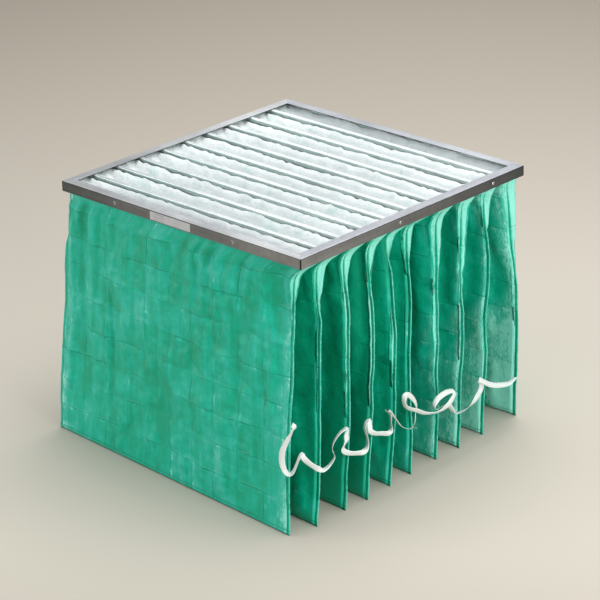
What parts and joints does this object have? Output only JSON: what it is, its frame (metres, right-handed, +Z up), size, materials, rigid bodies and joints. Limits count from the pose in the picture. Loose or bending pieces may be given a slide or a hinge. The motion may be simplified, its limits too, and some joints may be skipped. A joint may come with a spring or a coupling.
{
  "type": "bag air filter",
  "caption": "Pocket air filter: square folded-steel header with clamping bars and sewn green fabric pockets, white fleece inside, joined by a white spacer tape.",
  "frame": {"origin": "middle of the whole box, on the floor that the pocket hems rest on", "axes": "+X along the bars and pocket mouths, +Y across the pockets, +Z up to the header's face"},
  "size_m": [0.6834, 0.6384, 0.52],
  "materials": {
    "rail": "galvanised sheet, fine spangle, satin",
    "strip": "galvanised strip, bright satin",
    "bracket": "galvanised sheet",
    "rivet": "plain blind rivet",
    "label": "matt white paper",
    "cloth": "creased thin spunbonded cloth, slight sheen",
    "lining": "fluffy white synthetic fleece",
    "tape": "white satin ribbon"
  },
  "bodies": {
    "root": {"front_rail": "rail", "right_rail": "rail", "back_rail": "rail", "left_rail": "rail", "corner_bracket_1": "bracket", "corner_bracket_2": "bracket", "corner_bracket_3": "bracket", "corner_bracket_4": "bracket", "edge_bar_front": "strip", "edge_bar_back": "strip", "end_clip_right": "strip", "end_clip_left": "strip", "divider_bar_1": "strip", "divider_bar_2": "strip", "divider_bar_3": "strip", "divider_bar_4": "strip", "divider_bar_5": "strip", "divider_bar_6": "strip", "divider_bar_7": "strip", "divider_bar_8": "strip", "divider_bar_9": "strip", "rivet_1": "rivet", "rivet_2": "rivet", "rivet_3": "rivet", "rivet_4": "rivet", "rivet_5": "rivet", "rivet_6": "rivet", "rivet_7": "rivet", "rivet_8": "rivet", "rating_label": "label", "pocket_1": "cloth", "lining_1": "lining", "pocket_2": "cloth", "lining_2": "lining", "pocket_3": "cloth", "lining_3": "lining", "pocket_4": "cloth", "lining_4": "lining", "pocket_5": "cloth", "lining_5": "lining", "pocket_6": "cloth", "lining_6": "lining", "pocket_7": "cloth", "lining_7": "lining", "pocket_8": "cloth", "lining_8": "lining", "pocket_9": "cloth", "lining_9": "lining", "pocket_10": "cloth", "lining_10": "lining", "spacer_tape": "tape"}
  },
  "joints": []
}
